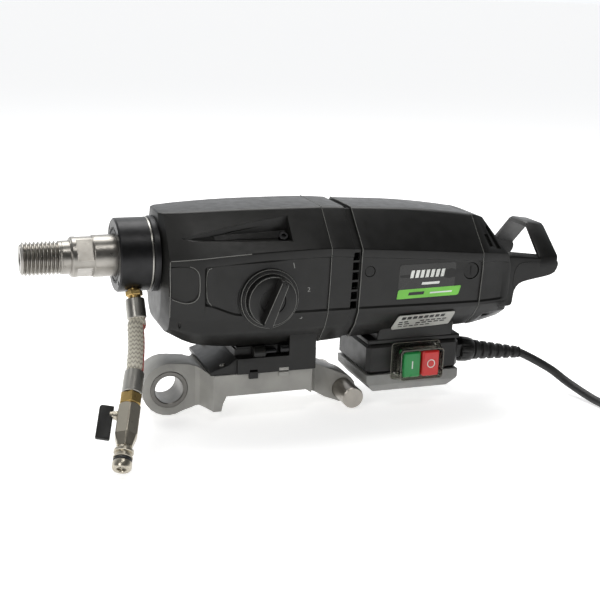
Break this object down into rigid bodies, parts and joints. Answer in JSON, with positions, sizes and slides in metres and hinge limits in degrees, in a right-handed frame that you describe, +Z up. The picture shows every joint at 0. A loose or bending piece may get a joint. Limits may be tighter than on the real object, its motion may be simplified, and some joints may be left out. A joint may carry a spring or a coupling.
{
  "type": "rig-mounted core drill motor",
  "caption": "Rig-mounted core drill motor with gearbox, hollow threaded spindle, water swivel and valve hose, speed selector, quick-clamp plate and switch box.",
  "frame": {"origin": "middle of the clamp plate's flat underside, on the machine's plane of symmetry, where the rig's carriage seats", "axes": "+X along the spindle from its tip towards the rear handle, +Y to the side away from the speed selector, +Z up from the clamp plate to the gearbox"},
  "size_m": [0.748, 0.2561, 0.209],
  "materials": {
    "black_cast": "satin black paint on die-cast metal",
    "black_plastic": "fine-grained satin black glass-filled plastic",
    "black_satin": "black anodised, turned",
    "cast_grey": "bead-blasted casting",
    "steel": "turned and ground steel",
    "stainless": "satin stainless",
    "nickel": "nickel plate over brass",
    "brass": "machined brass",
    "copper": "turned copper segments",
    "core_iron": "varnished laminations",
    "carbon": "pressed carbon",
    "grey_plastic": "satin mid-grey plastic",
    "clear": "clear flexible plastic, slightly smoky",
    "green": "glossy green plastic",
    "red": "glossy red plastic",
    "rubber": "black rubber",
    "braid": "woven yarn under clear cover"
  },
  "bodies": {
    "machine": {"gearbox_housing": "black_cast", "vent_housing": "black_cast", "motor_housing": "black_plastic", "rear_cap": "black_plastic", "gearbox_bulkhead": "cast_grey", "bearing_plate": "cast_grey", "water_collar": "black_satin", "collar_flange": "black_satin", "spindle_seal": "rubber", "hose_fitting": "nickel", "spindle_bearing_front": "stainless", "spindle_bearing_rear": "stainless", "countershaft_bearing_front": "stainless", "countershaft_bearing_rear": "stainless", "armature_bearing_front": "stainless", "armature_bearing_rear": "stainless", "stator_core": "core_iron", "brush_near": "carbon", "brush_far": "carbon", "brush_holder_near": "black_plastic", "brush_holder_far": "black_plastic", "shift_rod": "steel", "selector_base": "black_plastic", "mounting_block": "black_cast", "clamp_plate": "cast_grey", "ring_bush": "steel", "clamp_pin": "steel", "switch_box": "black_plastic", "switch_cover": "grey_plastic", "switch_module": "black_plastic", "switch_guard": "clear", "cable_gland": "black_plastic", "bend_relief": "rubber", "mains_cord": "rubber", "cord_coil": "rubber", "plug_lead": "rubber", "mains_plug": "rubber", "hose_ferrule_top": "stainless", "water_hose": "braid", "hose_ferrule_bottom": "stainless", "hose_nut": "brass", "valve_body": "nickel", "hose_nozzle": "nickel"},
    "armature": {"armature_shaft": "steel", "armature_pinion": "steel", "armature_core": "core_iron", "commutator": "copper", "cooling_fan": "grey_plastic"},
    "countershaft_set": {"countershaft": "steel", "countershaft_gear": "steel", "countershaft_pinion": "steel"},
    "spindle_set": {"spindle": "steel", "spindle_gear": "steel"},
    "selector": {"selector_knob": "black_plastic", "selector_crank": "steel"},
    "fork": {"shift_fork": "steel"},
    "sleeve": {"shift_sleeve": "steel"},
    "lever": {"valve_lever": "black_plastic"},
    "start": {"start_button": "green"},
    "stop": {"stop_button": "red"}
  },
  "joints": [
    {"name": "armature_spin", "type": "hinge", "parent": "machine", "child": "armature", "pos_m": [0.1, 0, 0.1165], "axis": [1, 0, 0], "continuous": true},
    {"name": "countershaft_spin", "type": "hinge", "parent": "machine", "child": "countershaft_set", "pos_m": [0, -0.02767, 0.1049], "axis": [1, 0, 0], "continuous": true},
    {"name": "spindle_spin", "type": "hinge", "parent": "machine", "child": "spindle_set", "pos_m": [-0.1, 0, 0.1365], "axis": [1, 0, 0], "continuous": true},
    {"name": "selector_turn", "type": "hinge", "parent": "machine", "child": "selector", "pos_m": [-0.0065, -0.06, 0.1015], "axis": [0, 1, 0], "range_deg": [0, 84]},
    {"name": "fork_slide", "type": "slide", "parent": "machine", "child": "fork", "axis": [1, 0, 0], "range_m": [0, 0.0121]},
    {"name": "sleeve_slide", "type": "slide", "parent": "countershaft_set", "child": "sleeve", "axis": [1, 0, 0], "range_m": [0, 0.0121]},
    {"name": "valve_lever_turn", "type": "hinge", "parent": "machine", "child": "lever", "pos_m": [-0.15244, -0.11244, 0.01576], "axis": [-0.9626, 0.2063, 0.1758], "range_deg": [0, 90]},
    {"name": "start_button_press", "type": "slide", "parent": "machine", "child": "start", "axis": [0, 1, 0], "range_m": [0, 0.003], "stiffness_N_per_m": 800},
    {"name": "stop_button_press", "type": "slide", "parent": "machine", "child": "stop", "axis": [0, 1, 0], "range_m": [0, 0.003], "stiffness_N_per_m": 800}
  ],
  "couplings": [
    {"joint": "countershaft_spin", "follows": "armature_spin", "ratio": -0.2},
    {"joint": "spindle_spin", "follows": "armature_spin", "ratio": 0.066667},
    {"joint": "fork_slide", "follows": "selector_turn", "m_per_rad": 0.0082154},
    {"joint": "sleeve_slide", "follows": "selector_turn", "m_per_rad": 0.0082154}
  ]
}
